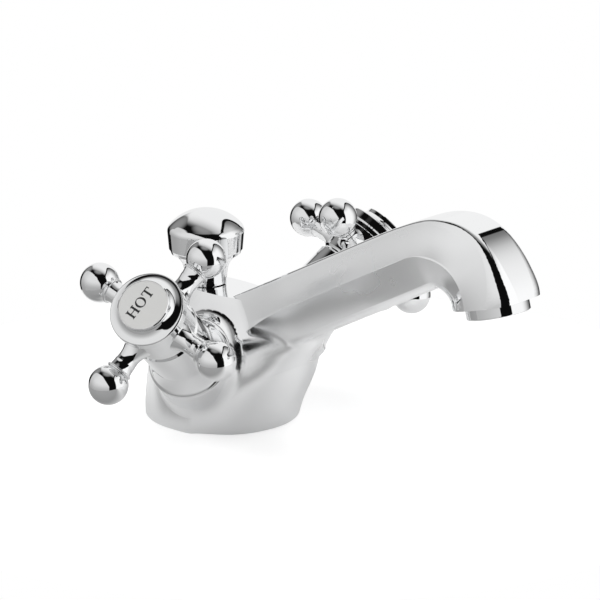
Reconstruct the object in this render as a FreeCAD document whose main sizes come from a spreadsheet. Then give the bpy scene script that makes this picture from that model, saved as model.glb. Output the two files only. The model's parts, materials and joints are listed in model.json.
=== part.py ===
import FreeCAD, Part
import math
import os
import re
import Sketcher
from FreeCAD import Placement, Rotation, Vector

# Basin mixer tap: one cast body and spout, two cross handles on ceramic disc valves, and a pop-up waste knob.
# Millimetres and degrees. The origin is the middle of the base's underside, +Z is up and the spout points to -Y.
# The hot valve stands at -X and the cold valve at +X, each on an axis that starts at one point above the origin.

SIZES = {
    # Cast pedestal and the flat deck on its top
    "base_radius": "25.2",
    "deck_height": "42.3",
    "neck_blend": "4",
    # The flat deck, and how far the pedestal's front swells under the spout
    "deck_half_width": "8.7",
    "deck_back": "16.5",
    "chin_reach": "41.8",
    # Height at which the two valve axes meet
    "meet_height": "4.2",
    # Valve bosses, measured along the valve axis from where the axes meet
    "boss_root": "16",
    "boss_stand": "9.3",
    "boss_radius": "14",
    "boss_lift": "0.5",
    "boss_blend": "5",
    "boss_edge_round": "0.6",
    # Spout: a straight neck that rises from a root inside the pedestal to a bend about one centre
    "root_ahead": "17.8",
    "root_depth": "28.3",
    "neck_length": "88",
    "bend_radius": "30.6",
    "spout_half_width": "12",
    # Waterways
    "valve_bore_radius": "9.3",
    "valve_bore_depth": "20.5",
    "valve_port_radius": "4",
    "valve_port_length": "6",
    "inlet_radius": "4.5",
    "inlet_depth": "6",
    "inlet_feed_radius": "3.4",
    "inlet_feed_height": "9.5",
    "inlet_spread": "10",
    "inlet_ahead": "3.6",
    "mixing_radius": "3",
    "neck_bore_radius": "5",
    "neck_bore_setback": "8",
    "bend_bore_radius": "4.5",
    "outlet_bore_radius": "9",
    "outlet_bore_depth": "7.7",
    # Fixing stud hole and the rubber seal under the base
    "stud_hole_radius": "3.4",
    "stud_hole_depth": "12",
    "stud_ahead": "12",
    "seal_margin": "2.4",
    "seal_width": "3.6",
    "seal_height": "2",
    # Small clearances
    "fit_gap": "0.05",
    "running_gap": "0.1",
    "rest_gap": "0.3",
    "overrun": "1",
    # Headwork: the screwed-in valve
    "seat_seal_height": "2.4",
    "seat_seal_inner": "5",
    "skirt_radius": "8.2",
    "skirt_bore_radius": "7",
    "skirt_height": "7.6",
    "skirt_window_width": "6",
    "skirt_window_height": "3.4",
    "fixed_disc_height": "2.6",
    "moving_disc_height": "2.2",
    "disc_port_radius": "2.2",
    "disc_port_offset": "3.6",
    "driver_height": "1.9",
    "driver_width": "2.6",
    "driver_play": "0.4",
    "collar_radius": "10",
    "collar_height": "1.5",
    "nut_radius": "9.9",
    "nut_height": "3.5",
    "gland_radius": "7.4",
    "gland_height": "23.1",
    "spindle_radius": "4",
    "groove_radius": "3",
    "groove_height": "1.2",
    "spindle_ring_drop": "9.6",
    "ring_section": "0.5",
    "clip_radius": "5.2",
    "clip_height": "0.8",
    "clip_lift": "0.6",
    "clip_groove_depth": "0.5",
    "spline_radius": "3.7",
    "spline_rise": "2.9",
    # Shroud over the headwork
    "shroud_radius": "11",
    "shroud_flare_radius": "12.5",
    "shroud_rim_radius": "13.4",
    "shroud_wall": "1.1",
    "shroud_waist": "15.5",
    "shroud_flare_start": "8.5",
    "shroud_flare_height": "1.8",
    "shroud_rim_height": "0.5",
    "shroud_web": "4",
    "shroud_bend": "26",
    "shroud_lip_bend": "2.4",
    # Handle hub, measured along the valve axis from the plane of its arms
    "arm_lift": "8",
    "hub_behind": "5.5",
    "hub_gap": "0.5",
    "hub_radius": "10.9",
    "hub_back_round": "0.7",
    "hub_ring_low": "5.6",
    "hub_ring_radius": "11.3",
    "hub_ring_height": "1.2",
    "hub_groove_height": "0.6",
    "rim_radius": "12.2",
    "rim_low": "7.4",
    "rim_high": "10.4",
    "rim_edge": "0.55",
    "cove_bend": "3.7",
    "cove_high": "12.3",
    "hub_web_low": "3.7",
    "hub_web_height": "1.6",
    "hub_cavity_radius": "6.7",
    "bush_radius": "6",
    # Index button and its disc
    "button_radius": "8.4",
    "button_height": "1.5",
    "button_bevel": "0.25",
    "button_plug_length": "4",
    "button_plug_wall": "1.2",
    "index_radius": "8",
    "index_height": "0.8",
    "index_lip": "0.1",
    # Index lettering
    "letter_height": "3.5",
    "letter_gap": "0.35",
    "letter_depth": "0.25",
    "letter_relief": "0.02",
    "letter_raise": "1.2",
    # Handle screw
    "screw_radius": "1.6",
    "screw_length": "10",
    "screw_head_radius": "3.4",
    "screw_head_height": "2.2",
    "screw_slot": "0.9",
    # Cross arms with ball ends, measured out from the hub's axis
    "ball_reach": "25",
    "ball_radius": "6.3",
    "bead_reach": "19.525",
    "bead_radius": "0.45",
    "bead_rise": "3.8",
    "neck_end_radius": "3.75",
    "neck_radius": "3.45",
    "neck_reach": "16.6",
    "neck_bend": "8",
    "flare_radius": "5",
    "flare_bend": "9",
    "flare_reach": "9.6",
    "stub_radius": "2.5",
    "stub_reach": "7.4",
    # Aerator, measured out of the spout's end
    "aerator_radius": "10",
    "aerator_drop": "3.7",
    "aerator_bore": "7.9",
    "aerator_thread_length": "6",
    "aerator_lip": "0.7",
    "aerator_edge": "0.5",
    "insert_top": "5.4",
    "insert_bottom": "2",
    "insert_web": "1.6",
    "insert_wall": "1.3",
    "insert_hole_radius": "0.7",
    "insert_hole_circle": "4.2",
    "mesh_height": "0.7",
    "mesh_hole_radius": "0.75",
    "mesh_pitch": "2.1",
    "washer_height": "1.6",
    "washer_inner": "6",
    # Pop-up waste knob and rod, measured up from the deck
    "rod_behind": "7",
    "rod_radius": "2.5",
    "rod_well_radius": "5",
    "rod_well_height": "33",
    "rod_thread_radius": "1.65",
    "rod_thread_depth": "8",
    "rod_foot": "0.5",
    "popup_travel": "12",
    "bush_outer_radius": "4",
    "bush_flange_radius": "5.4",
    "bush_flange_height": "0.8",
    "bush_groove_radius": "3.6",
    "bush_ring_drop": "4.5",
    "stop_radius": "4.5",
    "stop_height": "1",
    "knob_foot_radius": "6.7",
    "knob_foot_height": "1",
    "knob_waist_height": "5.6",
    "knob_waist_radius": "7.3",
    "knob_cup_height": "10.2",
    "knob_cup_radius": "11.3",
    "knob_cup_bend": "7.5",
    "knob_waist_bend": "22",
    "knob_band_low": "11.6",
    "knob_band_high": "17.4",
    "knob_band_taper": "0.5",
    "knob_radius": "12.5",
    "knob_edge": "0.41",
    "knob_roll": "2.9",
    "knob_shoulder": "0.83",
    "knob_shoulder_rise": "2.03",
    "knob_top": "24.6",
    "knob_recess_radius": "5.7",
    "knob_socket_depth": "12",
}

# Degrees: the valves' tilt above the horizontal and lean towards the spout, the spout's rise and the turn of its
# mouth, and the turn of the first arm about its valve
TILT_ANGLE = 38.7
LEAN_ANGLE = 19.6
RISE_ANGLE = 28
MOUTH_ANGLE = 75
ARM_ANGLE = 65

# Places along a valve's axis, from where the two axes meet
BOSS_FACE = "(base_radius + boss_stand)"
VALVE_SEAT = "(%s - valve_bore_depth)" % BOSS_FACE
GLAND_TOP = "(%s + gland_height)" % BOSS_FACE
ARM_PLANE = "(%s + arm_lift)" % GLAND_TOP

# Pedestal outlines: height as a share of the deck's, half width from the deck's (0) to the base's (1), then the
# reach to the front as shares of the base radius and the chin reach, and the reach to the back as shares of the
# base radius and the deck's. The last one stands above the deck and is cut off level with it.
PEDESTAL_SHARES = [
    (0, 1, 1, 0, 1, 0),
    (0.15, 1, 0.83, 0.17, 0.98, 0.02),
    (0.32, 0.962, 0.57, 0.43, 0.9, 0.1),
    (0.48, 0.87, 0.35, 0.65, 0.77, 0.23),
    (0.64, 0.66, 0.15, 0.85, 0.6, 0.4),
    (0.79, 0.4, 0, 1, 0.39, 0.61),
    (0.91, 0.15, 0, 0.873, 0.18, 0.82),
    (1, 0, 0, 0.573, 0, 1),
    (1.09, -0.15, 0, 0.3, 0, 0.885),
]
OUTLINE_STEPS = 9

# Spout sections from the root to the outlet. The first column is the distance back along the neck as a share of
# its length, the second the turn about the bend's centre as a share of the whole turn. Then come the distances of
# the top, the side crease and the underside from the bend's centre, as shares of the bend radius, and the half
# width of the top, its edge rounding, the half width of the underside and its rounding, as shares of the spout's
# half width.
SPOUT_SHARES = [
    (1, 0, 0.93, 0.44, 0.165, 0.54, 0.085, 0.71, 0.25),
    (0.885, 0, 0.93, 0.51, 0.185, 0.54, 0.085, 0.69, 0.25),
    (0.77, 0, 0.93, 0.565, 0.203, 0.54, 0.085, 0.675, 0.25),
    (0.66, 0, 0.93, 0.595, 0.212, 0.54, 0.085, 0.667, 0.25),
    (0.45, 0, 0.93, 0.598, 0.216, 0.54, 0.085, 0.667, 0.25),
    (0.17, 0, 0.928, 0.598, 0.216, 0.54, 0.085, 0.667, 0.25),
    (0, 0, 0.915, 0.595, 0.219, 0.54, 0.085, 0.667, 0.25),
    (0, 0.136, 0.92, 0.588, 0.225, 0.54, 0.09, 0.667, 0.267),
    (0, 0.272, 0.949, 0.578, 0.235, 0.546, 0.108, 0.683, 0.3),
    (0, 0.417, 0.987, 0.578, 0.239, 0.558, 0.142, 0.708, 0.35),
    (0, 0.563, 1.003, 0.575, 0.239, 0.592, 0.2, 0.75, 0.417),
    (0, 0.709, 0.995, 0.559, 0.239, 0.667, 0.308, 0.8, 0.5),
    (0, 0.854, 0.993, 0.533, 0.232, 0.79, 0.467, 0.858, 0.583),
    (0, 1, 1, 0.507, 0.216, 0.95, 0.667, 0.917, 0.667),
]
OUTLET_MIDDLE_SHARE = 0.608

# Letterforms as shares of the letter height: straight bars (left, low, right, high), then bowls
# (middle x, middle y, outer half width, outer half height, inner half width, inner half height, left limit).
LETTER_BAR_SHARES = {
    "H": [(0.08, 0, 0.28, 1), (0.72, 0, 0.92, 1), (0.28, 0.46, 0.72, 0.55)]
    + [(x, y, x + 0.36, y + 0.08) for x in (0, 0.64) for y in (0, 0.92)],
    "T": [(0.35, 0, 0.55, 1), (0, 0.91, 0.9, 1), (0, 0.72, 0.08, 0.91), (0.82, 0.72, 0.9, 0.91),
          (0.25, 0, 0.65, 0.08)],
    "L": [(0.08, 0, 0.28, 1), (0, 0.92, 0.36, 1), (0, 0, 0.82, 0.08), (0.74, 0.08, 0.82, 0.28)],
    "D": [(0.08, 0, 0.28, 1), (0, 0.92, 0.3, 1), (0, 0, 0.3, 0.08)],
    "O": [],
    "C": [(0.8, 0.66, 0.88, 1), (0.8, 0, 0.88, 0.34)],
}
LETTER_BOWL_SHARES = {
    "O": [(0.5, 0.5, 0.5, 0.52, 0.3, 0.45, 0)],
    "C": [(0.5, 0.5, 0.5, 0.52, 0.3, 0.45, 0)],
    "D": [(0.28, 0.5, 0.66, 0.5, 0.46, 0.43, 0.2)],
}
LETTER_OPENING_SHARES = {"C": (0.7, 0.3, 1.1, 0.7)}
LETTER_WIDTH_SHARES = {"H": 1, "O": 1, "T": 0.9, "C": 0.9, "L": 0.84, "D": 0.95}

SIDES = {"hot": -1, "cold": 1}
ARM_COUNT = 4
INSERT_HOLES = 8
MESH_RINGS = 3

doc = FreeCAD.newDocument("basin_mixer_tap")
sheet = doc.addObject("Spreadsheet::Sheet", "Sizes")
for row, (alias, text) in enumerate(SIZES.items(), 1):
    sheet.set("A%d" % row, alias)
    sheet.set("B%d" % row, text)
    sheet.setAlias("B%d" % row, alias)
doc.recompute()

pieces = []


def size(text):
    """The value of a sum of named sizes."""
    return float(sheet.evalExpression(text))


def bound(text):
    """The same sum as an expression that follows the sheet."""
    return re.sub(r"[a-z_]+", lambda word: "Sizes." + word.group(), text)


def keep(shape, label):
    """Names a finished piece and lists it for the check and the export."""
    shape.Label = label
    pieces.append(shape)
    return shape


def arc_between(start, end, radius, side):
    """The shorter arc from start to end with its centre on the left (1) or the right (-1) of the way along."""
    chord = end - start
    left = Vector(-chord.y, chord.x, 0).normalize()
    centre = (start + end) * 0.5 + left * side * math.sqrt(max(radius ** 2 - chord.Length ** 2 / 4, 0))
    first, last = (start, end) if side > 0 else (end, start)
    angles = [math.atan2(p.y - centre.y, p.x - centre.x) for p in (first, last)]
    return Part.ArcOfCircle(Part.Circle(centre, Vector(0, 0, 1), radius), angles[0], angles[1])


def dome_radius(start, top):
    """Radius of the arc that rises from start and meets the axis squarely at the top."""
    rise = top.y - start.y
    return (start.x ** 2 + rise ** 2) / (2 * rise)


def turned(name, outline, placement=Placement()):
    """A body turned about its own Z axis. Each point of the outline is (radius, height). A point that starts an
    arc adds the arc's radius and the side that its centre is on, and one that starts a dome adds "dome"."""
    body = doc.addObject("PartDesign::Body", name)
    sketch = body.newObject("Sketcher::SketchObject", name + "_outline")
    plane = next(f for f in body.Origin.OriginFeatures if f.Role == "XZ_Plane")
    sketch.AttachmentSupport = (plane, [""])
    sketch.MapMode = "FlatFace"
    points = [Vector(size(point[0]), size(point[1]), 0) for point in outline]
    firsts, lasts = [], []
    for i, point in enumerate(outline):
        start, end = points[i], points[(i + 1) % len(points)]
        forward = True
        if len(point) == 2:
            sketch.addGeometry(Part.LineSegment(start, end), False)
        elif point[2] == "dome":
            sketch.addGeometry(arc_between(start, end, dome_radius(start, end), 1), False)
        else:
            sketch.addGeometry(arc_between(start, end, size(point[2]), point[3]), False)
            forward = point[3] > 0
        firsts.append(1 if forward else 2)
        lasts.append(2 if forward else 1)

    def fix(kind, ends, value, text):
        index = sketch.addConstraint(Sketcher.Constraint(kind, *ends, value))
        sketch.setExpression("Constraints[%d]" % index, bound(text))

    for i, point in enumerate(outline):
        after = (i + 1) % len(outline)
        sketch.addConstraint(Sketcher.Constraint("Coincident", i, lasts[i], after, firsts[after]))
        fix("DistanceX", (-1, 1, i, firsts[i]), points[i].x, point[0])
        fix("DistanceY", (-1, 1, i, firsts[i]), points[i].y, point[1])
        if len(point) > 3:
            fix("Radius", (i,), size(point[2]), point[2])
        elif len(point) > 2:
            sketch.addConstraint(Sketcher.Constraint("PointOnObject", i, 3, -2))
    turning = body.newObject("PartDesign::Revolution", name + "_turning")
    turning.Profile = sketch
    turning.ReferenceAxis = (sketch, ["V_Axis"])
    turning.Angle = 360
    body.Placement = placement
    return body


def cylinder(name, radius, height, placement):
    shape = doc.addObject("Part::Cylinder", name)
    shape.setExpression("Radius", bound(radius))
    shape.setExpression("Height", bound(height))
    shape.Placement = placement
    return shape


def fused(name, shapes):
    shape = doc.addObject("Part::MultiFuse", name)
    shape.Shapes = shapes
    return shape


def cut(name, base, tools):
    shape = doc.addObject("Part::Cut", name)
    shape.Refine = False
    shape.Base = base
    shape.Tool = tools[0] if len(tools) == 1 else fused(name + "_tools", tools)
    return shape


def plain(name, shape):
    """A form made straight from curves."""
    feature = doc.addObject("Part::Feature", name)
    feature.Shape = shape
    return feature


def tube(inner, outer, low, high):
    """Outline of a plain ring."""
    return [(inner, low), (outer, low), (outer, high), (inner, high)]


def along(x, y, z, frame):
    """A place given in a frame's own directions."""
    return frame.multiply(Placement(Vector(x, y, z), Rotation()))


def pointing(start, end):
    """A frame at start whose Z axis points to end."""
    return Placement(start, Rotation(Vector(0, 0, 1), end - start))


def valve_frame(side):
    """The valve's frame: Z out along the valve, X level and Y up its face, from where the two axes meet."""
    tilt = math.radians(TILT_ANGLE)
    lean = math.radians(LEAN_ANGLE)
    axis = Vector(side * math.cos(tilt) * math.cos(lean), -math.cos(tilt) * math.sin(lean), math.sin(tilt))
    across = Vector(math.sin(lean), side * math.cos(lean), 0)
    return Placement(Vector(0, 0, size("meet_height")), Rotation(across, axis.cross(across), axis, "ZXY"))


def bend_frame(turn):
    """The bend's frame at a turn: X is the tap's X, Y runs out of the spout and Z is away from the bend's centre."""
    angle = math.radians(turn)
    out = Vector(0, -math.cos(angle), -math.sin(angle))
    away = Vector(0, -math.sin(angle), math.cos(angle))
    rise, length = math.radians(RISE_ANGLE), size("neck_length")
    reach = size("root_ahead") + length * math.cos(rise)
    height = size("deck_height - root_depth") + length * math.sin(rise)
    return Placement(Vector(0, -reach, height), Rotation(out.cross(away), out, away, "ZXY"))


def outlet_frame():
    """Z points out of the spout from the middle of its end."""
    radius = size("bend_radius") * OUTLET_MIDDLE_SHARE
    frame = bend_frame(MOUTH_ANGLE)
    return along(0, 0, radius, frame).multiply(Placement(Vector(), Rotation(Vector(1, 0, 0), -90)))


def pedestal_outline(height, half_width, front, back):
    """A level outline of two half ovals that share their width."""

    def half(reach):
        angles = [math.pi * i / (OUTLINE_STEPS - 1) for i in range(OUTLINE_STEPS)]
        return [Vector(half_width * math.cos(a), reach * math.sin(a), height) for a in angles]

    front_half = Part.BSplineCurve()
    front_half.interpolate(Points=half(-front), InitialTangent=Vector(0, -1, 0), FinalTangent=Vector(0, 1, 0))
    back_half = Part.BSplineCurve()
    back_half.interpolate(Points=half(back)[::-1], InitialTangent=Vector(0, 1, 0), FinalTangent=Vector(0, -1, 0))
    return Part.Wire([front_half.toShape(), back_half.toShape()])


def pedestal_form():
    base, deck_half, deck_back = size("base_radius"), size("deck_half_width"), size("deck_back")
    outlines = []
    for high, width, front_base, front_chin, back_base, back_deck in PEDESTAL_SHARES:
        outlines.append(pedestal_outline(
            size("deck_height") * high,
            deck_half + (base - deck_half) * width,
            base * front_base + size("chin_reach") * front_chin,
            base * back_base + deck_back * back_deck,
        ))
    return Part.makeLoft(outlines, True, False)


def rounded_corner(before, corner, after, radius):
    """Where a rounding starts, its middle and where it ends."""
    back = (before - corner).normalize()
    ahead = (after - corner).normalize()
    half_angle = back.getAngle(ahead) / 2
    length = radius / math.tan(half_angle)
    centre = corner + (back + ahead).normalize() * (radius / math.sin(half_angle))
    return corner + back * length, centre + (corner - centre).normalize() * radius, corner + ahead * length


def spout_outline(shares):
    """One section: flat top, rounded edges, a crease down each side and a narrower underside."""
    back, turn, top, crease, under, top_half, top_round, under_half, under_round = shares
    reach, half_width = size("bend_radius"), size("spout_half_width")
    frame = bend_frame(turn * (MOUTH_ANGLE + RISE_ANGLE) - RISE_ANGLE)

    def place(x, z):
        return frame.multVec(Vector(x, -back * size("neck_length"), z))

    top_middle = place(0, reach * top)
    top_corner = place(half_width * top_half, reach * top)
    side = place(half_width, reach * crease)
    under_corner = place(half_width * under_half, reach * under)
    under_middle = place(0, reach * under)
    top_arc = rounded_corner(top_middle, top_corner, side, half_width * top_round)
    under_arc = rounded_corner(side, under_corner, under_middle, half_width * under_round)

    def mirrored(point):
        return Vector(-point.x, point.y, point.z)

    def line(start, end):
        return Part.LineSegment(start, end).toShape()

    def arc(points):
        return Part.Arc(*points).toShape()

    right = [arc(top_arc), line(top_arc[2], side), line(side, under_arc[0]), arc(under_arc)]
    other_top = [mirrored(p) for p in top_arc[::-1]]
    other_under = [mirrored(p) for p in under_arc[::-1]]
    left = [
        arc(other_under),
        line(other_under[2], mirrored(side)),
        line(mirrored(side), other_top[0]),
        arc(other_top),
    ]
    return Part.Wire(
        [line(mirrored(top_arc[0]), top_arc[0])] + right + [line(under_arc[2], mirrored(under_arc[2]))] + left
    )


def shared_edges(joined, forms):
    """Numbers of the joined shape's edges that lie on the skins of two of the forms."""
    numbers = []
    for number, edge in enumerate(joined.Edges, 1):
        span = edge.LastParameter - edge.FirstParameter
        samples = [edge.valueAt(edge.FirstParameter + span * share) for share in (0.3, 0.5, 0.7)]
        near = [
            form for form in forms
            if all(form.Shells[0].distToShape(Part.Vertex(p))[0] < size("fit_gap") / 20 for p in samples)
        ]
        if len(near) > 1:
            numbers.append(number)
    return numbers


def blended(name, base, edges):
    """Rounds numbered edges; edges is a list of (number, radius)."""
    feature = doc.addObject("Part::Fillet", name)
    feature.Base = base
    feature.Edges = [(number, radius, radius) for number, radius in edges]
    return feature


def boss(name, side):
    """The round block that carries a valve, set a little above the valve's own axis, with a softened front edge."""
    return turned(name + "_boss", [
        ("0 * boss_radius", "boss_root"),
        ("boss_radius", "boss_root"),
        ("boss_radius", BOSS_FACE + " - boss_edge_round", "boss_edge_round", 1),
        ("boss_radius - boss_edge_round", BOSS_FACE),
        ("0 * boss_radius", BOSS_FACE),
    ], along(0, size("boss_lift"), 0, valve_frame(side)))


def body_casting():
    """Pedestal, spout and bosses in one, with soft inner corners and a flat deck."""
    pedestal = plain("pedestal_form", pedestal_form())
    spout = plain("spout_form", Part.makeLoft([spout_outline(s) for s in SPOUT_SHARES], True, False))
    neck_join = fused("neck_join", [pedestal, spout])
    doc.recompute()
    seams = shared_edges(neck_join.Shape, [pedestal.Shape, spout.Shape])
    neck = blended("neck_round", neck_join, [(n, size("neck_blend")) for n in seams])
    bosses = [boss(name, side) for name, side in SIDES.items()]
    boss_join = fused("boss_join", [neck] + bosses)
    doc.recompute()
    seams = shared_edges(boss_join.Shape, [neck.Shape] + [b.Shape for b in bosses])
    rounded = blended("boss_round", boss_join, [(n, size("boss_blend")) for n in seams])
    above = doc.addObject("Part::Box", "above_deck")
    above.setExpression("Length", bound("4 * base_radius"))
    above.setExpression("Width", bound("4 * base_radius"))
    above.setExpression("Height", bound("deck_height"))
    half = 2 * size("base_radius")
    above.Placement = Placement(Vector(-half, -half, size("deck_height")), Rotation())
    return cut("casting", rounded, [cut("deck_cutter", above, [spout])])


def valve_bores(name, side):
    """The bore that the headwork screws into, its port, the inlet below and the way to the neck."""
    frame = valve_frame(side)
    port_start = size(VALVE_SEAT) - size("valve_port_length")
    inlet = Vector(side * size("inlet_spread"), -size("inlet_ahead"), -size("overrun"))
    window = along(0, 0, size(VALVE_SEAT + " + seat_seal_height + skirt_height / 2"), frame).Base
    chamber = bend_frame(-RISE_ANGLE).multVec(
        Vector(0, -(size("neck_length") - size("neck_bore_setback")), size("bend_radius") * OUTLET_MIDDLE_SHARE)
    )
    mixing = doc.addObject("Part::Cylinder", name + "_mixing_way")
    mixing.setExpression("Radius", bound("mixing_radius"))
    mixing.Height = (chamber - window).Length
    mixing.Placement = pointing(window, chamber)
    return [
        cylinder(name + "_bore", "valve_bore_radius", BOSS_FACE + " - " + VALVE_SEAT + " + overrun",
                 along(0, 0, size(VALVE_SEAT), frame)),
        cylinder(name + "_port", "valve_port_radius", "valve_port_length + overrun",
                 along(0, 0, port_start, frame)),
        cylinder(name + "_inlet", "inlet_radius", "inlet_depth + overrun", Placement(inlet, Rotation())),
        cylinder(name + "_inlet_feed", "inlet_feed_radius", "inlet_feed_height + overrun",
                 Placement(inlet, Rotation())),
        mixing,
    ]


def spout_bores():
    """The neck's bore, the bend and the threaded mouth for the aerator."""
    radius = size("bend_radius") * OUTLET_MIDDLE_SHARE
    start = bend_frame(-RISE_ANGLE)
    length = "neck_length - neck_bore_setback"
    along_neck = along(0, -size(length), radius, start)
    along_neck = along_neck.multiply(Placement(Vector(), Rotation(Vector(1, 0, 0), -90)))
    bend = doc.addObject("Part::Torus", "bend_bore")
    bend.Radius1 = radius
    bend.setExpression("Radius2", bound("bend_bore_radius"))
    bend.Angle3 = MOUTH_ANGLE + RISE_ANGLE
    away = start.Rotation.multVec(Vector(0, 0, 1))
    bend.Placement = Placement(start.Base, Rotation(away, Vector(1, 0, 0).cross(away), Vector(1, 0, 0), "ZXY"))
    mouth = along(0, 0, -size("outlet_bore_depth"), outlet_frame())
    return [
        cylinder("neck_bore", "neck_bore_radius", length, along_neck),
        bend,
        cylinder("outlet_bore", "outlet_bore_radius", "outlet_bore_depth + overrun", mouth),
    ]


def tap_body():
    up = Rotation()
    rod = Vector(0, size("rod_behind"), 0)
    below = Vector(0, 0, -size("overrun"))
    tools = spout_bores()
    for name, side in SIDES.items():
        tools += valve_bores(name, side)
    tools += [
        cylinder("rod_well", "rod_well_radius", "rod_well_height + overrun", Placement(rod + below, up)),
        cylinder("rod_bush_bore", "bush_outer_radius + fit_gap", "deck_height",
                 Placement(rod + Vector(0, 0, size("overrun")), up)),
        cylinder("stud_hole", "stud_hole_radius", "stud_hole_depth + overrun",
                 Placement(Vector(0, -size("stud_ahead"), 0) + below, up)),
        turned("seal_groove", tube(
            "base_radius - seal_margin - seal_width - fit_gap", "base_radius - seal_margin + fit_gap",
            "-overrun", "seal_height + fit_gap")),
    ]
    keep(cut("body_with_bores", body_casting(), tools), "tap_body")


def base_seal():
    keep(turned("seal_ring", tube(
        "base_radius - seal_margin - seal_width", "base_radius - seal_margin",
        "0 * seal_height", "seal_height")), "base_seal")


def headwork(name, side):
    """The still parts of a valve: seat seal, fixed disc, screwed-in body and the shroud over it."""
    frame = valve_frame(side)
    skirt_low = VALVE_SEAT + " + seat_seal_height"
    skirt_high = skirt_low + " + skirt_height"
    seal = turned(name + "_seal_ring", tube(
        "seat_seal_inner", "valve_bore_radius - running_gap", VALVE_SEAT, skirt_low), frame)
    keep(seal, name + "_seat_seal")
    disc = cylinder(name + "_fixed_blank", "skirt_bore_radius - fit_gap", "fixed_disc_height",
                    along(0, 0, size(skirt_low), frame))
    ports = disc_ports(name + "_fixed_port", frame, skirt_low, 0)
    keep(cut(name + "_fixed_ported", disc, ports), name + "_fixed_disc")
    core = turned(name + "_headwork_core", [
        ("skirt_bore_radius", skirt_low),
        ("skirt_radius", skirt_low),
        ("skirt_radius", skirt_high),
        ("valve_bore_radius - fit_gap", skirt_high),
        ("valve_bore_radius - fit_gap", BOSS_FACE),
        ("collar_radius", BOSS_FACE),
        ("collar_radius", BOSS_FACE + " + collar_height"),
        ("gland_radius", BOSS_FACE + " + collar_height"),
        ("gland_radius", GLAND_TOP),
        ("spindle_radius + running_gap", GLAND_TOP),
        ("spindle_radius + running_gap", skirt_high + " - driver_play"),
        ("skirt_bore_radius", skirt_high + " - driver_play"),
    ], frame)
    nut = doc.addObject("Part::Prism", name + "_nut")
    nut.Polygon = 6
    nut.setExpression("Circumradius", bound("nut_radius"))
    nut.setExpression("Height", bound("nut_height"))
    nut.Placement = along(0, 0, size(BOSS_FACE + " + collar_height"), frame)
    hollow = cylinder(name + "_nut_bore", "gland_radius - shroud_wall", "nut_height", nut.Placement)
    windows = []
    for number, turn in enumerate((0, 180)):
        window = doc.addObject("Part::Box", "%s_window_%d" % (name, number + 1))
        window.setExpression("Length", bound("skirt_radius + overrun"))
        window.setExpression("Width", bound("skirt_window_width"))
        window.setExpression("Height", bound("skirt_window_height"))
        level = size(skirt_low + " + fixed_disc_height")
        turned_frame = along(0, 0, level, frame).multiply(Placement(Vector(), Rotation(Vector(0, 0, 1), turn)))
        window.Placement = along(0, -size("skirt_window_width") / 2, 0, turned_frame)
        windows.append(window)
    whole = fused(name + "_headwork_fused", [core, cut(name + "_nut_ring", nut, [hollow])])
    keep(cut(name + "_headwork_open", whole, windows), name + "_headwork_body")
    top = ARM_PLANE + " - hub_behind - hub_gap"
    keep(turned(name + "_shroud_shell", [
        ("gland_radius + fit_gap", top + " - shroud_web"),
        ("gland_radius + fit_gap", top),
        ("shroud_radius - hub_back_round", top),
        ("shroud_radius", top + " - hub_back_round"),
        ("shroud_radius", BOSS_FACE + " + shroud_waist"),
        ("shroud_radius", BOSS_FACE + " + shroud_flare_start", "shroud_bend", 1),
        ("shroud_flare_radius", BOSS_FACE + " + shroud_flare_height", "shroud_lip_bend", 1),
        ("shroud_rim_radius", BOSS_FACE + " + shroud_rim_height"),
        ("shroud_rim_radius", BOSS_FACE),
        ("shroud_rim_radius - shroud_wall", BOSS_FACE),
        ("shroud_rim_radius - 2 * shroud_wall", BOSS_FACE + " + shroud_flare_height"),
        ("collar_radius + rest_gap", BOSS_FACE + " + 2 * shroud_flare_height"),
        ("collar_radius + rest_gap", BOSS_FACE + " + collar_height + nut_height"),
        ("shroud_radius - shroud_wall", BOSS_FACE + " + shroud_flare_start"),
        ("shroud_radius - shroud_wall", top + " - shroud_web"),
    ], frame), name + "_shroud")


def disc_ports(name, frame, level, turn):
    """The two waterways through a ceramic disc. A quarter turn of the upper disc lines its pair up with the lower."""
    ports = []
    for number in range(2):
        sideways = Placement(Vector(), Rotation(Vector(0, 0, 1), turn + 180 * number))
        place = along(size("disc_port_offset"), 0, size(level) - size("overrun"), frame.multiply(sideways))
        ports.append(cylinder("%s_%d" % (name, number + 1), "disc_port_radius",
                              "fixed_disc_height + 2 * overrun", place))
    return ports


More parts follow.
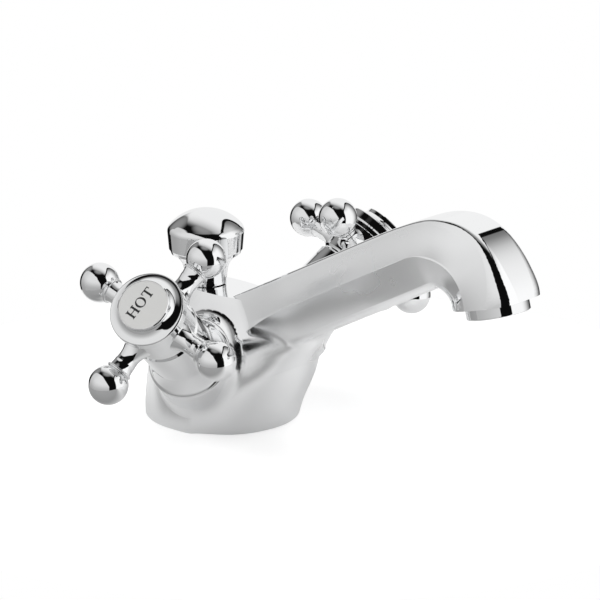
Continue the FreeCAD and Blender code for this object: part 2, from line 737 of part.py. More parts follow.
def spindle_set(name, side):
    """What turns inside the headwork: moving disc, spindle with its ring and clip."""
    frame = valve_frame(side)
    disc_low = VALVE_SEAT + " + seat_seal_height + fixed_disc_height + fit_gap"
    disc_high = disc_low + " + moving_disc_height"
    blank = cylinder(name + "_moving_blank", "skirt_bore_radius - running_gap", "moving_disc_height",
                     along(0, 0, size(disc_low), frame))
    ports = disc_ports(name + "_moving_port", frame, disc_low, 90)
    keep(cut(name + "_moving_ported", blank, ports), name + "_moving_disc")
    ring_low = GLAND_TOP + " - spindle_ring_drop"
    clip_low = GLAND_TOP + " + clip_lift - fit_gap"
    clip_high = GLAND_TOP + " + clip_lift + clip_height + fit_gap"
    spindle = turned(name + "_spindle_turned", [
        ("0 * spindle_radius", disc_high),
        ("skirt_bore_radius - running_gap", disc_high),
        ("skirt_bore_radius - running_gap", disc_high + " + driver_height"),
        ("spindle_radius", disc_high + " + driver_height"),
        ("spindle_radius", ring_low),
        ("groove_radius", ring_low),
        ("groove_radius", ring_low + " + groove_height"),
        ("spindle_radius", ring_low + " + groove_height"),
        ("spindle_radius", clip_low),
        ("spindle_radius - clip_groove_depth", clip_low),
        ("spindle_radius - clip_groove_depth", clip_high),
        ("spline_radius", clip_high),
        ("spline_radius", ARM_PLANE + " + spline_rise"),
        ("screw_radius + fit_gap", ARM_PLANE + " + spline_rise"),
        ("screw_radius + fit_gap", ARM_PLANE + " + spline_rise - screw_length"),
        ("0 * spindle_radius", ARM_PLANE + " + spline_rise - screw_length"),
    ], frame)
    flats = []
    for number in range(2):
        flat = doc.addObject("Part::Box", "%s_driver_flat_%d" % (name, number + 1))
        flat.setExpression("Length", bound("2 * skirt_radius"))
        flat.setExpression("Width", bound("skirt_radius"))
        flat.setExpression("Height", bound("driver_height + overrun"))
        level = along(0, 0, size(disc_high) - size("overrun"), frame)
        level = level.multiply(Placement(Vector(), Rotation(Vector(0, 0, 1), 180 * number)))
        flat.Placement = along(-size("skirt_radius"), size("driver_width") / 2, 0, level)
        flats.append(flat)
    keep(cut(name + "_spindle_flatted", spindle, flats), name + "_spindle")
    ring = doc.addObject("Part::Torus", name + "_ring")
    ring.setExpression("Radius1", bound("groove_radius + ring_section"))
    ring.setExpression("Radius2", bound("ring_section"))
    ring.Placement = along(0, 0, size(ring_low + " + groove_height / 2"), frame)
    keep(ring, name + "_spindle_o_ring")
    clip = turned(name + "_clip_ring", tube(
        "spindle_radius - clip_groove_depth + fit_gap", "clip_radius",
        clip_low + " + fit_gap", clip_high + " - fit_gap"), frame)
    keep(clip, name + "_spindle_clip")


def handle_hub(name, side):
    frame = valve_frame(side)
    back = ARM_PLANE + " - hub_behind"
    ring = ARM_PLANE + " + hub_ring_low"
    web = ARM_PLANE + " + hub_web_low"
    blank = turned(name + "_hub_turned", [
        ("bush_radius + fit_gap", back),
        ("hub_radius - hub_back_round", back),
        ("hub_radius", back + " + hub_back_round"),
        ("hub_radius", ring),
        ("hub_ring_radius", ring),
        ("hub_ring_radius", ring + " + hub_ring_height"),
        ("hub_radius", ring + " + hub_ring_height"),
        ("hub_radius", ARM_PLANE + " + rim_low"),
        ("rim_radius", ARM_PLANE + " + rim_low"),
        ("rim_radius", ARM_PLANE + " + rim_high - rim_edge", "rim_edge", 1),
        ("rim_radius - rim_edge", ARM_PLANE + " + rim_high", "cove_bend", -1),
        ("button_radius", ARM_PLANE + " + cove_high"),
        ("hub_cavity_radius", ARM_PLANE + " + cove_high"),
        ("hub_cavity_radius", web + " + hub_web_height"),
        ("screw_radius + running_gap", web + " + hub_web_height"),
        ("screw_radius + running_gap", web),
        ("bush_radius + fit_gap", web),
    ], frame)
    sockets = []
    for number in range(ARM_COUNT):
        place = along(0, 0, size("stub_reach") - size("running_gap"), arm_frame(side, number))
        sockets.append(cylinder("%s_socket_%d" % (name, number + 1), "stub_radius + fit_gap / 2",
                                "hub_radius", place))
    keep(cut(name + "_hub_drilled", blank, sockets), name + "_handle_hub")


def arm_frame(side, number):
    """Z out along an arm, X along the valve's axis."""
    frame = along(0, 0, size(ARM_PLANE), valve_frame(side))
    lead = ARM_ANGLE if side < 0 else 180 - ARM_ANGLE
    turn = Rotation(Vector(0, 0, 1), lead + number * 360 / ARM_COUNT)
    upright = Rotation(Vector(0, 0, 1), Vector(0, 1, 0), Vector(1, 0, 0), "ZXY")
    return frame.multiply(Placement(Vector(), turn.multiply(upright)))


def handle_arm(name, side, number):
    """A turned arm with a ball end, saddled onto the hub and held by a stub."""
    label = "%s_handle_arm_%d" % (name, number + 1)
    frame = arm_frame(side, number)
    bead_low = "bead_reach - bead_radius"
    bead_high = "bead_reach + bead_radius"
    shaft = turned(label + "_turned", [
        ("0 * neck_radius", "flare_reach"),
        ("flare_radius", "flare_reach", "flare_bend", -1),
        ("neck_radius", "neck_reach", "neck_bend", -1),
        ("neck_end_radius", bead_low),
        ("bead_rise", bead_low, "bead_radius", 1),
        ("bead_rise", bead_high, "dome"),
        ("0 * neck_radius", "ball_reach + ball_radius"),
    ], frame)
    saddle = cylinder(label + "_saddle", "hub_radius", "3 * hub_radius",
                      along(0, 0, size(ARM_PLANE) - size("hub_radius") * 1.5, valve_frame(side)))
    stub = cylinder(label + "_stub", "stub_radius", "hub_radius + overrun - stub_reach",
                    along(0, 0, size("stub_reach"), frame))
    keep(fused(label + "_joined", [cut(label + "_seated", shaft, [saddle]), stub]), label)


def handle_core(name, side):
    """What holds the handle on its spindle: the splined bush and the screw."""
    frame = valve_frame(side)
    web = ARM_PLANE + " + hub_web_low"
    bush = turned(name + "_bush_ring", tube(
        "spline_radius + fit_gap", "bush_radius",
        ARM_PLANE + " - hub_behind + rest_gap", web + " - fit_gap"), frame)
    keep(bush, name + "_spline_bush")
    top = web + " + hub_web_height"
    screw = turned(name + "_screw_turned", [
        ("0 * screw_radius", top + " - screw_length"),
        ("screw_radius", top + " - screw_length"),
        ("screw_radius", top),
        ("screw_head_radius", top),
        ("screw_head_radius", top + " + screw_head_height"),
        ("0 * screw_radius", top + " + screw_head_height"),
    ], frame)
    slots = []
    for number in range(2):
        slot = doc.addObject("Part::Box", "%s_slot_%d" % (name, number + 1))
        slot.setExpression("Length", bound("2 * screw_head_radius - 2 * screw_slot"))
        slot.setExpression("Width", bound("screw_slot"))
        slot.setExpression("Height", bound("screw_head_height"))
        level = along(0, 0, size(top + " + screw_head_height / 2"), frame)
        level = level.multiply(Placement(Vector(), Rotation(Vector(0, 0, 1), 90 * number)))
        slot.Placement = along(-size("screw_head_radius - screw_slot"), -size("screw_slot") / 2, 0, level)
        slots.append(slot)
    keep(cut(name + "_screw_slotted", screw, slots), name + "_handle_screw")


def bar_face(shares):
    left, low, right, high = [share * size("letter_height") for share in shares]
    return Part.makePlane(right - left, high - low, Vector(left, low, 0))


def oval_face(x, y, half_width, half_height):
    scale = size("letter_height")
    middle = Vector(x, y, 0) * scale
    tall = half_height > half_width
    first = Vector(0, half_height, 0) if tall else Vector(half_width, 0, 0)
    second = Vector(-half_width, 0, 0) if tall else Vector(0, half_height, 0)
    oval = Part.Ellipse(middle + first * scale, middle + second * scale, middle)
    return Part.Face(Part.Wire(oval.toShape()))


def letter_block(letter):
    """A plain serif capital as one solid."""
    faces = [bar_face(shares) for shares in LETTER_BAR_SHARES[letter]]
    for x, y, outer_x, outer_y, inner_x, inner_y, limit in LETTER_BOWL_SHARES.get(letter, []):
        bowl = oval_face(x, y, outer_x, outer_y).cut(oval_face(x, y, inner_x, inner_y))
        faces.append(bowl.common(bar_face((limit, -1, 2, 2))))
    up = Vector(0, 0, size("letter_depth + letter_relief"))
    blocks = [face.extrude(up) for face in faces]
    block = blocks[0].fuse(blocks[1:]) if len(blocks) > 1 else blocks[0]
    if letter in LETTER_OPENING_SHARES:
        block = block.cut(bar_face(LETTER_OPENING_SHARES[letter]).extrude(up))
    return block.removeSplitter()


def lettering(word):
    """The word's letters as raised blocks, centred on the disc and set a little above its middle."""
    scale, gap = size("letter_height"), size("letter_gap")
    widths = [LETTER_WIDTH_SHARES[letter] * scale for letter in word]
    place = -(sum(widths) + gap * (len(word) - 1)) / 2
    blocks = []
    for letter, width in zip(word, widths):
        block = letter_block(letter)
        block.translate(Vector(place, size("letter_raise") - scale / 2, -size("letter_depth")))
        blocks.append(block)
        place += width + gap
    return Part.makeCompound(blocks)


def index_set(name, side):
    """The button that closes the hub, its pale disc and the inlaid word."""
    frame = valve_frame(side)
    seat = ARM_PLANE + " + cove_high"
    recess = seat + " + button_height - index_height - index_lip"
    keep(turned(name + "_button_turned", [
        ("hub_cavity_radius - button_plug_wall", seat + " - button_plug_length"),
        ("hub_cavity_radius - fit_gap", seat + " - button_plug_length"),
        ("hub_cavity_radius - fit_gap", seat),
        ("button_radius", seat),
        ("button_radius", seat + " + button_height - button_bevel"),
        ("button_radius - button_bevel", seat + " + button_height"),
        ("index_radius + fit_gap", seat + " + button_height"),
        ("index_radius + fit_gap", recess),
        ("0 * index_radius", recess),
        ("0 * index_radius", seat),
        ("hub_cavity_radius - button_plug_wall", seat),
    ], frame), name + "_index_button")
    face = size(recess + " + index_height")
    lead = ARM_ANGLE if side < 0 else 90 - ARM_ANGLE
    place = along(0, 0, face, frame).multiply(Placement(Vector(), Rotation(Vector(0, 0, 1), lead)))
    letters = plain(name + "_word", lettering(name.upper()))
    letters.Placement = place
    blank = cylinder(name + "_index_blank", "index_radius", "index_height", along(0, 0, size(recess), frame))
    keep(cut(name + "_index_engraved", blank, [letters]), name + "_index_disc")
    keep(letters, name + "_index_letters")


def aerator():
    """Screwed-in housing with its insert, mesh and washer, measured out of the spout's end."""
    frame = outlet_frame()
    keep(turned("housing_turned", [
        ("aerator_bore", "-aerator_thread_length"),
        ("outlet_bore_radius - fit_gap", "-aerator_thread_length"),
        ("outlet_bore_radius - fit_gap", "0 * aerator_drop"),
        ("aerator_radius", "0 * aerator_drop"),
        ("aerator_radius", "aerator_drop - aerator_edge", "aerator_edge", 1),
        ("aerator_radius - aerator_edge", "aerator_drop"),
        ("aerator_bore - aerator_lip", "aerator_drop"),
        ("aerator_bore - aerator_lip", "aerator_drop - aerator_lip"),
        ("aerator_bore", "aerator_drop - aerator_lip"),
    ], frame), "aerator_housing")
    insert = turned("insert_turned", [
        ("0 * insert_wall", "insert_bottom - insert_web"),
        ("aerator_bore - fit_gap - insert_wall", "insert_bottom - insert_web"),
        ("aerator_bore - fit_gap - insert_wall", "insert_bottom"),
        ("aerator_bore - fit_gap", "insert_bottom"),
        ("aerator_bore - fit_gap", "-insert_top"),
        ("aerator_bore - fit_gap - insert_wall", "-insert_top"),
        ("aerator_bore - fit_gap - insert_wall", "insert_bottom - 2 * insert_web"),
        ("0 * insert_wall", "insert_bottom - 2 * insert_web"),
    ], frame)
    holes = []
    for number in range(INSERT_HOLES):
        turn = Placement(Vector(), Rotation(Vector(0, 0, 1), 360 * number / INSERT_HOLES))
        place = along(size("insert_hole_circle"), 0, -size("overrun") - size("insert_web"), frame.multiply(turn))
        holes.append(cylinder("insert_hole_%d" % (number + 1), "insert_hole_radius", "4 * insert_web", place))
    keep(cut("insert_drilled", insert, holes), "aerator_insert")
    low = "insert_bottom + fit_gap"
    blank = cylinder("mesh_blank", "aerator_bore - fit_gap", "mesh_height", along(0, 0, size(low), frame))
    places = [Vector()]
    for ring in range(1, MESH_RINGS + 1):
        for number in range(6 * ring):
            angle = 2 * math.pi * number / (6 * ring)
            places.append(Vector(math.cos(angle), math.sin(angle), 0) * ring * size("mesh_pitch"))
    drills = [
        Part.makeCylinder(size("mesh_hole_radius"), size("mesh_height + 2 * overrun"),
                          p - Vector(0, 0, size("overrun")))
        for p in places
    ]
    drill = plain("mesh_drills", Part.makeCompound(drills))
    drill.Placement = along(0, 0, size(low), frame)
    keep(cut("mesh_drilled", blank, [drill]), "aerator_mesh")
    washer = turned("washer_ring", tube("washer_inner", "outlet_bore_radius - running_gap",
                                        "-aerator_thread_length - fit_gap - washer_height",
                                        "-aerator_thread_length - fit_gap"), frame)
    keep(washer, "aerator_washer")


def popup():
    """The guide bush and its ring in the deck, and the knob, rod and stop ring that lift through it."""
    frame = Placement(Vector(0, size("rod_behind"), 0), Rotation())
    groove = "deck_height - bush_ring_drop"
    bore = "rod_radius + running_gap"
    keep(turned("bush_turned", [
        (bore, "rod_well_height"),
        ("bush_outer_radius", "rod_well_height"),
        ("bush_outer_radius", "deck_height"),
        ("bush_flange_radius", "deck_height"),
        ("bush_flange_radius", "deck_height + bush_flange_height"),
        (bore, "deck_height + bush_flange_height"),
        (bore, groove + " + groove_height"),
        ("bush_groove_radius", groove + " + groove_height"),
        ("bush_groove_radius", groove),
        (bore, groove),
    ], frame), "popup_guide_bush")
    ring = doc.addObject("Part::Torus", "rod_ring")
    ring.setExpression("Radius1", bound("bush_groove_radius - ring_section - fit_gap / 2"))
    ring.setExpression("Radius2", bound("ring_section"))
    ring.Placement = along(0, 0, size(groove + " + groove_height / 2"), frame)
    keep(ring, "popup_o_ring")
    foot = "deck_height + rest_gap"
    socket = foot + " + knob_socket_depth"
    stop = "rod_well_height - rest_gap - popup_travel - stop_height"
    keep(turned("rod_turned", [
        ("rod_thread_radius", "rod_foot"),
        ("rod_radius", "rod_foot"),
        ("rod_radius", stop + " - fit_gap"),
        ("rod_radius - clip_groove_depth", stop + " - fit_gap"),
        ("rod_radius - clip_groove_depth", stop + " + stop_height + fit_gap"),
        ("rod_radius", stop + " + stop_height + fit_gap"),
        ("rod_radius", socket),
        ("0 * rod_radius", socket),
        ("0 * rod_radius", "rod_foot + rod_thread_depth"),
        ("rod_thread_radius", "rod_foot + rod_thread_depth"),
    ], frame), "popup_rod")
    keep(turned("stop_ring", tube(
        "rod_radius - clip_groove_depth + fit_gap", "stop_radius",
        stop, stop + " + stop_height"), frame), "popup_stop_ring")
    recess = "deck_height + bush_flange_height + rest_gap"
    keep(turned("knob_turned", [
        ("knob_recess_radius", foot),
        ("knob_foot_radius", foot),
        ("knob_foot_radius", "deck_height + knob_foot_height", "knob_waist_bend", -1),
        ("knob_waist_radius", "deck_height + knob_waist_height", "knob_cup_bend", -1),
        ("knob_cup_radius", "deck_height + knob_cup_height"),
        ("knob_radius - knob_band_taper - knob_edge", "deck_height + knob_band_low - knob_edge"),
        ("knob_radius - knob_band_taper", "deck_height + knob_band_low"),
        ("knob_radius", "deck_height + knob_band_high", "knob_roll", 1),
        ("knob_radius - knob_shoulder", "deck_height + knob_band_high + knob_shoulder_rise", "dome"),
        ("0 * knob_radius", "deck_height + knob_top"),
        ("0 * knob_radius", socket + " + rest_gap"),
        ("rod_radius + fit_gap", socket + " + rest_gap"),
        ("rod_radius + fit_gap", recess),
        ("knob_recess_radius", recess),
    ], frame), "popup_knob")


def write_parts():
    """Stops on any failed object or bad solid, then writes each piece."""
    doc.recompute()
    failed = [o.Name for o in doc.Objects if "Invalid" in o.State or "Error" in o.State]
    if failed:
        raise RuntimeError("objects that failed: " + ", ".join(failed))
    for piece in pieces:
        if piece.Shape.isNull() or not piece.Shape.isValid() or not piece.Shape.Solids:
            raise RuntimeError("bad shape: " + piece.Label)
    os.makedirs("parts", exist_ok=True)
    for piece in pieces:
        piece.Shape.exportStep(os.path.join("parts", piece.Label + ".step"))


tap_body()
base_seal()
for side_name, side_sign in SIDES.items():
    headwork(side_name, side_sign)
    spindle_set(side_name, side_sign)
    handle_hub(side_name, side_sign)
    for arm_number in range(ARM_COUNT):
        handle_arm(side_name, side_sign, arm_number)
    handle_core(side_name, side_sign)
    index_set(side_name, side_sign)
aerator()
popup()
write_parts()
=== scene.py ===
import json
import math

import bpy
from mathutils import Matrix, Vector

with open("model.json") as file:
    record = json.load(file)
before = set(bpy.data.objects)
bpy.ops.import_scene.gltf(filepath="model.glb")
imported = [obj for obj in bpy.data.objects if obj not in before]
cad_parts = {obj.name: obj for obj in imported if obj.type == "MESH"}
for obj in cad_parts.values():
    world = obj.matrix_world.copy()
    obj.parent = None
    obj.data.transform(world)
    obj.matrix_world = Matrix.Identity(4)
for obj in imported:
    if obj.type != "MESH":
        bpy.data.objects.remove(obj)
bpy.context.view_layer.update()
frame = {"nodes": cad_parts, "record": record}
scene = bpy.context.scene
nodes = frame["nodes"]

# Everywhere below, a ramp is (from, to), or (from, to, value at from, value at to). Lengths are in metres,
# turns of the spout in radians. Bearings and heights of the studio are in degrees, where bearing 0 is the
# spout's way and 90 is +X.


# Node helpers

def new_material(name):
    material = bpy.data.materials.new(name)
    material.use_nodes = True
    tree = material.node_tree
    return material, tree, tree.nodes["Principled BSDF"]


def add_node(tree, kind, **values):
    node = tree.nodes.new(kind)
    for key, value in values.items():
        setattr(node, key, value)
    return node


def math_node(tree, operation, *values):
    node = add_node(tree, "ShaderNodeMath", operation=operation)
    for socket, value in zip(node.inputs, values):
        if isinstance(value, (int, float)):
            socket.default_value = value
        else:
            tree.links.new(value, socket)
    return node.outputs[0]


def product(tree, first, *others):
    for other in others:
        first = math_node(tree, "MULTIPLY", first, other)
    return first


def smooth_ramp(tree, value, low, high, bottom=0.0, top=1.0):
    node = add_node(tree, "ShaderNodeMapRange", interpolation_type="SMOOTHSTEP")
    for key, number in {"From Min": low, "From Max": high, "To Min": bottom, "To Max": top}.items():
        node.inputs[key].default_value = number
    tree.links.new(value, node.inputs["Value"])
    return node.outputs[0]


def spread(tree, value, low, high):
    """A value of 0 to 1 spread evenly over this range."""
    node = add_node(tree, "ShaderNodeMapRange")
    node.inputs["To Min"].default_value = low
    node.inputs["To Max"].default_value = high
    tree.links.new(value, node.inputs["Value"])
    return node.outputs[0]


def noise(tree, scale, detail):
    coordinates = add_node(tree, "ShaderNodeTexCoord")
    texture = add_node(tree, "ShaderNodeTexNoise")
    texture.inputs["Scale"].default_value = scale
    texture.inputs["Detail"].default_value = detail
    tree.links.new(coordinates.outputs["Object"], texture.inputs["Vector"])
    return texture.outputs[0]


def coordinates_of(tree, vector):
    split = add_node(tree, "ShaderNodeSeparateXYZ")
    tree.links.new(vector, split.inputs[0])
    return split.outputs


def bump(tree, shader, height, distance):
    node = add_node(tree, "ShaderNodeBump")
    node.inputs["Distance"].default_value = distance
    tree.links.new(height, node.inputs["Height"])
    tree.links.new(node.outputs["Normal"], shader.inputs["Normal"])


def light_path(tree):
    return add_node(tree, "ShaderNodeLightPath").outputs


# Materials

POLISH_SCALE = 60
POLISH_ROUGHNESS = (0.02, 0.045)


def metal(name, colour):
    material, tree, shader = new_material(name)
    shader.inputs["Metallic"].default_value = 1.0
    shader.inputs["Base Color"].default_value = (*colour, 1)
    return material, tree, shader


def chrome_material():
    material, tree, shader = metal("polished_chrome", (0.9, 0.905, 0.91))
    polish = spread(tree, noise(tree, POLISH_SCALE, 3), *POLISH_ROUGHNESS)
    tree.links.new(polish, shader.inputs["Roughness"])
    return material


def plain_metal(name, colour, low, high, scale=180):
    material, tree, shader = metal(name, colour)
    tree.links.new(spread(tree, noise(tree, scale, 4), low, high), shader.inputs["Roughness"])
    return material


def plain_solid(name, colour, low, high, scale=400, relief=0.00002):
    material, tree, shader = new_material(name)
    shader.inputs["Base Color"].default_value = (*colour, 1)
    grain = noise(tree, scale, 4)
    tree.links.new(spread(tree, grain, low, high), shader.inputs["Roughness"])
    bump(tree, shader, grain, relief)
    return material


def satin_index():
    material, tree, shader = new_material("satin_index")
    shader.inputs["Metallic"].default_value = 0.35
    shader.inputs["Base Color"].default_value = (0.66, 0.66, 0.65, 1)
    tree.links.new(spread(tree, noise(tree, 900, 4), 0.34, 0.4), shader.inputs["Roughness"])
    return material


# The spout's finish. In the photo its long flats reflect in soft bands, as if they swelled a little between
# their edges. A bump of 1.0 mm on the upper flat and 1.4 mm on the lower one gives that look, and the solid's
# flats stay plain. Places on the spout are told by how far they are ahead of the bend's centre along the rising
# spout, by their distance from that centre's line, by the turn round it, and by how far they are above the
# crease between the flats.

SPOUT_RISE = math.radians(28)
BEND_CENTRE_Y = -0.0955
BEND_CENTRE_Z = 0.0553
CREASE_FROM_LINE = (0.9, 1.8, 0.0182, 0.0155)
LOWEST_UNDER_CREASE = -0.0115
UPPER_FLAT_WIDTH = 0.0118
UPPER_FLAT_SWELL = -30
LOWER_FLAT_WIDTH = -0.017
LOWER_FLAT_SWELL = -19
LOWER_SWELL_BEGINS = (0.0, -0.025)
SWELL_LEAVES_ROOT = (-0.078, -0.055)
SWELL_ENDS_IN_BEND = (1.2, 0.5)
FLAT_TOP_EDGE = (0.0098, 0.0086)
FLAT_ENDS_IN_BEND = (1.1, 0.6)
FLAT_ROUGHNESS_FROM_ROOT = (-0.08, -0.068, 0.0, 0.24)
FOOT_ROUGHNESS_BY_HEIGHT = (0.034, 0.026, 0.0, 0.18)


def swell(tree, above, width, depth):
    """A low arch between 0 and this width, as high as a quarter of the depth times the width squared."""
    return product(tree, math_node(tree, "MULTIPLY", above, depth), math_node(tree, "SUBTRACT", above, width))


def spout_finish():
    # Its base colour is a lighter copy of the other chrome: painted light that makes the body's reflections
    # brighter.
    material, tree, shader = metal("polished_chrome_spout", (0.95, 0.955, 0.96))
    place = coordinates_of(tree, add_node(tree, "ShaderNodeTexCoord").outputs["Object"])
    y = math_node(tree, "SUBTRACT", place[1], BEND_CENTRE_Y)
    z = math_node(tree, "SUBTRACT", place[2], BEND_CENTRE_Z)
    cosine, sine = math.cos(SPOUT_RISE), math.sin(SPOUT_RISE)
    ahead = math_node(tree, "MULTIPLY_ADD", y, -cosine, math_node(tree, "MULTIPLY", z, sine))
    up = math_node(tree, "MULTIPLY_ADD", y, sine, math_node(tree, "MULTIPLY", z, cosine))
    past_bend = math_node(tree, "MAXIMUM", ahead, 0.0)
    squares = math_node(tree, "MULTIPLY_ADD", up, up, product(tree, past_bend, past_bend))
    from_line = math_node(tree, "SQRT", squares)
    turn = math_node(tree, "ARCTAN2", past_bend, up)
    above = math_node(tree, "SUBTRACT", from_line, smooth_ramp(tree, turn, *CREASE_FROM_LINE))
    above = math_node(tree, "MAXIMUM", above, LOWEST_UNDER_CREASE)

    upper = swell(tree, above, UPPER_FLAT_WIDTH, UPPER_FLAT_SWELL)
    lower = swell(tree, above, LOWER_FLAT_WIDTH, LOWER_FLAT_SWELL)
    lower = product(tree, lower, smooth_ramp(tree, ahead, *LOWER_SWELL_BEGINS))
    is_upper = math_node(tree, "GREATER_THAN", above, 0.0)
    height = math_node(tree, "MULTIPLY_ADD", math_node(tree, "SUBTRACT", upper, lower), is_upper, lower)
    height = product(tree, height, smooth_ramp(tree, ahead, *SWELL_LEAVES_ROOT),
                     smooth_ramp(tree, turn, *SWELL_ENDS_IN_BEND))
    bump(tree, shader, height, 1.0)

    flat = product(tree, smooth_ramp(tree, above, *FLAT_TOP_EDGE), smooth_ramp(tree, turn, *FLAT_ENDS_IN_BEND),
                   smooth_ramp(tree, ahead, *FLAT_ROUGHNESS_FROM_ROOT))
    foot = smooth_ramp(tree, place[2], *FOOT_ROUGHNESS_BY_HEIGHT)
    polish = spread(tree, noise(tree, POLISH_SCALE, 3), *POLISH_ROUGHNESS)
    roughness = math_node(tree, "ADD", polish, math_node(tree, "MAXIMUM", flat, foot))
    tree.links.new(roughness, shader.inputs["Roughness"])
    return material


materials = {
    "chrome": chrome_material(),
    "index_face": satin_index(),
    "index_lettering": plain_solid("black_enamel", (0.012, 0.012, 0.013), 0.25, 0.35),
    "brass": plain_metal("machined_brass", (0.72, 0.53, 0.26), 0.18, 0.3),
    "ceramic": plain_solid("white_ceramic", (0.85, 0.84, 0.8), 0.12, 0.2),
    "rubber": plain_solid("black_rubber", (0.02, 0.02, 0.02), 0.6, 0.75),
    "steel": plain_metal("bright_steel", (0.6, 0.6, 0.61), 0.15, 0.28),
    "nylon": plain_solid("white_nylon", (0.8, 0.8, 0.77), 0.4, 0.5),
}
for entry in frame["record"]["subparts"]:
    node = nodes[entry["node"]]
    for slot in node.material_slots:
        slot.material = materials[entry["material_slot"]]
for slot in nodes["tap_body"].material_slots:
    slot.material = spout_finish()


# Table: a pale round top that the tap stands on. Painted shade lowers its tone on the hot side, which shows in
# the chrome only, since the camera sees all of it as a white page with the tap's shadow.

TABLE_RADIUS = 0.15
TABLE_STEPS = 128
TABLE_PLACE = (0, -0.03, 0)
TABLE_TONE = 0.7
PAINTED_SHADE_DEPTH = 0.44
PAINTED_SHADE_TOWARDS_HOT = (-0.034, -0.07)
PAINTED_SHADE_BEHIND_BY_Y = (-0.02, 0.02)
PAINTED_SHADE_BEHIND_BY_X = (-0.024, -0.05)
PAGE_LEVEL = 1.16
GLOW_IN_CHROME = 0.06


def table():
    mesh = bpy.data.meshes.new("table_top")
    angles = [2 * math.pi * step / TABLE_STEPS for step in range(TABLE_STEPS)]
    ring = [(TABLE_RADIUS * math.cos(angle), TABLE_RADIUS * math.sin(angle), 0) for angle in angles]
    mesh.from_pydata(ring, [], [tuple(range(TABLE_STEPS))])
    obj = bpy.data.objects.new("table_top", mesh)
    obj.location = TABLE_PLACE
    scene.collection.objects.link(obj)

    material, tree, shader = new_material("pale_table")
    place = add_node(tree, "ShaderNodeVectorMath", operation="ADD")
    tree.links.new(add_node(tree, "ShaderNodeTexCoord").outputs["Object"], place.inputs[0])
    place.inputs[1].default_value = obj.location
    x, y = coordinates_of(tree, place.outputs["Vector"])[:2]
    # Painted shade: the table's tone is lowered on the hot side and behind the tap, so the chrome reflects a
    # shaded floor there.
    behind = product(tree, smooth_ramp(tree, y, *PAINTED_SHADE_BEHIND_BY_Y), smooth_ramp(tree, x, *PAINTED_SHADE_BEHIND_BY_X))
    painted_shade = math_node(tree, "MAXIMUM", smooth_ramp(tree, x, *PAINTED_SHADE_TOWARDS_HOT), behind)
    tone = math_node(tree, "MULTIPLY_ADD", painted_shade, -PAINTED_SHADE_DEPTH, TABLE_TONE)
    tree.links.new(tone, shader.inputs["Base Color"])
    shader.inputs["Roughness"].default_value = 0.9
    shader.inputs["Specular IOR Level"].default_value = 0.0

    shader.inputs["Emission Color"].default_value = (1, 1, 1, 1)
    path = light_path(tree)
    in_chrome = math_node(tree, "MAXIMUM", path["Is Glossy Ray"], path["Is Transmission Ray"])
    page = product(tree, path["Is Camera Ray"], math_node(tree, "SUBTRACT", PAGE_LEVEL, tone))
    glow = math_node(tree, "MULTIPLY_ADD", in_chrome, GLOW_IN_CHROME, page)
    tree.links.new(glow, shader.inputs["Emission Strength"])
    mesh.materials.append(material)


table()


# Studio round the tap: a dark room with two broad soft panels, a pale ceiling with a dimmer crown, a white wall
# behind and a dim far corner. This is what the chrome shows, as in the photo. Only the camera sees the world
# white. A panel's widths and its top are in distances to it. Caps are round patches, and their ramps run by how
# nearly a direction points at their middle, where 1 is straight at it.

ROOM = 0.004
LEFT_PANEL = {"lon": -111, "half_width": 2.7, "top": 1.5, "soft": 0.07, "corner": 0.9}
LEFT_CORNER_SLOPE = 0.46
LEFT_CORNER_CUT = (1.66, 1.52)
LEFT_BY_SIDE = (-1.2, 0.0, 0.84, 1.0)
LEFT_BY_HEIGHT = (-0.4, 0.4, 0.45, 0.8)
RIGHT_PANEL = {"lon": 47, "half_width": 1.1, "top": 1.45, "soft": 0.04, "corner": 0.5}
RIGHT_BY_SIDE = (0.95, -0.1, 0.2, 1.0)
RIGHT_BY_HEIGHT = (0.55, 0.92, 1.04, 0.5)
RIGHT_FRAME = {"lon": 47, "half_width": 1.38, "top": 1.78, "soft": 0.04, "corner": 0.7}
CEILING_CAP = ((95, 47), (0.5, 0.72))
CEILING_LEVEL_CAP = ((100, 30), (0.25, 0.8, 0.3, 0.92))
CEILING_END_CAP = ((190, 15), (0.86, 0.8))
WALL_CAP = ((130, 5), (0.88, 0.93, 0.0, 0.9))
FAR_CORNER_CAP = ((178, 28), (0.87, 1.0, 0.0, 0.28))
CROWN_BY_HEIGHT = (0.87, 0.98, 0.0, 0.3)


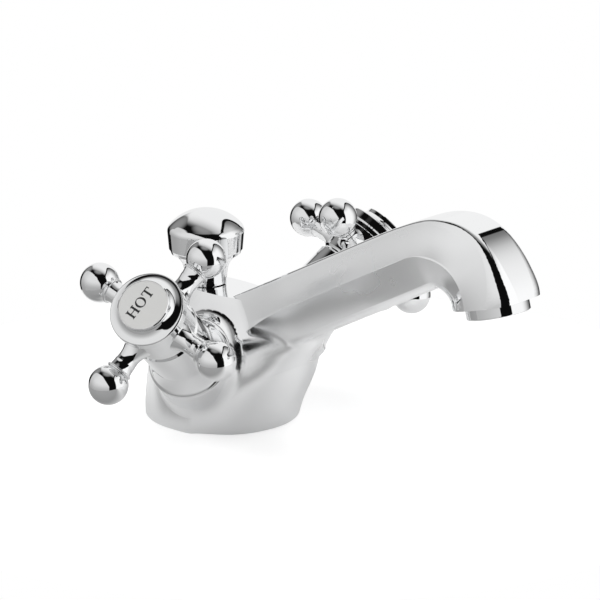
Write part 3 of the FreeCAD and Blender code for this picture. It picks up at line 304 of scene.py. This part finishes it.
def studio():
    world = bpy.data.worlds.new("studio")
    world.use_nodes = True
    scene.world = world
    tree = world.node_tree
    tree.nodes.clear()
    out = add_node(tree, "ShaderNodeOutputWorld")
    background = add_node(tree, "ShaderNodeBackground")
    tree.links.new(background.outputs[0], out.inputs[0])
    x, y, z = coordinates_of(tree, add_node(tree, "ShaderNodeTexCoord").outputs["Generated"])

    def along(lon):
        """Part of the direction that points level at this bearing."""
        a = math.radians(lon)
        return math_node(tree, "MULTIPLY_ADD", y, -math.cos(a), math_node(tree, "MULTIPLY", x, math.sin(a)))

    def cap(middle, fade):
        lon, lat = middle
        b = math.radians(lat)
        level_part = math_node(tree, "MULTIPLY", along(lon), math.cos(b))
        return smooth_ramp(tree, math_node(tree, "MULTIPLY_ADD", z, math.sin(b), level_part), *fade)

    def on_sheet(lon):
        """Where the direction meets an upright sheet there: to the side and up, in distances to it."""
        ahead = math_node(tree, "MAXIMUM", along(lon), 0.001)
        return math_node(tree, "DIVIDE", along(lon + 90), ahead), math_node(tree, "DIVIDE", z, ahead)

    def panel(lon, half_width, top, soft, corner):
        """A flat panel with rounded corners: 1 inside, 0 outside."""
        side, up = on_sheet(lon)
        past_side = math_node(tree, "SUBTRACT", math_node(tree, "ABSOLUTE", side), half_width - corner)
        past_side = math_node(tree, "MAXIMUM", past_side, 0)
        past_top = math_node(tree, "MAXIMUM", math_node(tree, "SUBTRACT", up, top - corner), 0)
        squares = math_node(tree, "ADD", product(tree, past_side, past_side), product(tree, past_top, past_top))
        return smooth_ramp(tree, math_node(tree, "SQRT", squares), corner + soft, corner - soft)

    left_side, left_up = on_sheet(LEFT_PANEL["lon"])
    to_corner = math_node(tree, "MULTIPLY_ADD", left_side, LEFT_CORNER_SLOPE, left_up)
    left = product(tree, panel(**LEFT_PANEL), smooth_ramp(tree, to_corner, *LEFT_CORNER_CUT),
                   smooth_ramp(tree, left_side, *LEFT_BY_SIDE), smooth_ramp(tree, z, *LEFT_BY_HEIGHT))
    right_side = on_sheet(RIGHT_PANEL["lon"])[0]
    right = product(tree, panel(**RIGHT_PANEL), smooth_ramp(tree, right_side, *RIGHT_BY_SIDE),
                    smooth_ramp(tree, z, *RIGHT_BY_HEIGHT))
    outside_frame = math_node(tree, "SUBTRACT", 1.0, panel(**RIGHT_FRAME))
    ceiling = product(tree, cap(*CEILING_CAP), cap(*CEILING_LEVEL_CAP), outside_frame, cap(*CEILING_END_CAP))
    crown = smooth_ramp(tree, z, *CROWN_BY_HEIGHT)
    page = light_path(tree)["Is Camera Ray"]
    value = ROOM
    for light in (left, right, ceiling, cap(*WALL_CAP), crown, cap(*FAR_CORNER_CAP), page):
        value = math_node(tree, "MAXIMUM", value, light)
    tree.links.new(value, background.inputs["Color"])
    background.inputs["Strength"].default_value = 1.0


studio()


# Soft lamps for the pale and rough surfaces. The studio's own panels are what shows in the chrome.

LAMPS = (
    {"name": "left_lamp", "lon": -111, "lat": 42, "distance": 1.2, "width": 1.2, "height": 0.9, "power": 9},
    {"name": "right_lamp", "lon": 47, "lat": 48, "distance": 1.2, "width": 0.9, "height": 0.9, "power": 7},
)


def area_lamp(name, lon, lat, distance, width, height, power):
    a, b = math.radians(lon), math.radians(lat)
    place = Vector((math.sin(a) * math.cos(b), -math.cos(a) * math.cos(b), math.sin(b))) * distance
    light = bpy.data.lights.new(name, "AREA")
    light.shape = "RECTANGLE"
    light.size = width
    light.size_y = height
    light.energy = power
    obj = bpy.data.objects.new(name, light)
    obj.location = place
    obj.rotation_mode = "QUATERNION"
    obj.rotation_quaternion = (-place).to_track_quat("-Z", "Y")
    obj.visible_glossy = False
    scene.collection.objects.link(obj)


for lamp in LAMPS:
    area_lamp(**lamp)


# Camera, as the photograph was taken

CAMERA_PLACE = (-0.860065, -0.797074, 0.401370)
CAMERA_AZIMUTH = math.radians(-48.411)
CAMERA_ELEVATION = math.radians(17.243)
FOCAL_LENGTH_IN_PIXELS = 3787
PHOTO_WIDTH_IN_PIXELS = 600
SENSOR_WIDTH_MM = 36.0


def camera():
    level = math.cos(CAMERA_ELEVATION)
    forward = Vector((-math.sin(CAMERA_AZIMUTH) * level, math.cos(CAMERA_AZIMUTH) * level,
                      -math.sin(CAMERA_ELEVATION)))
    data = bpy.data.cameras.new("camera")
    data.sensor_width = SENSOR_WIDTH_MM
    data.sensor_fit = "HORIZONTAL"
    data.lens = FOCAL_LENGTH_IN_PIXELS / PHOTO_WIDTH_IN_PIXELS * SENSOR_WIDTH_MM
    data.clip_start = 0.01
    data.clip_end = 50
    obj = bpy.data.objects.new("camera", data)
    obj.location = CAMERA_PLACE
    right = forward.cross(Vector((0, 0, 1))).normalized()
    up = right.cross(forward)
    obj.rotation_mode = "QUATERNION"
    obj.rotation_quaternion = Matrix((right, up, -forward)).transposed().to_quaternion()
    scene.collection.objects.link(obj)
    scene.camera = obj


camera()
scene.view_settings.view_transform = "Standard"
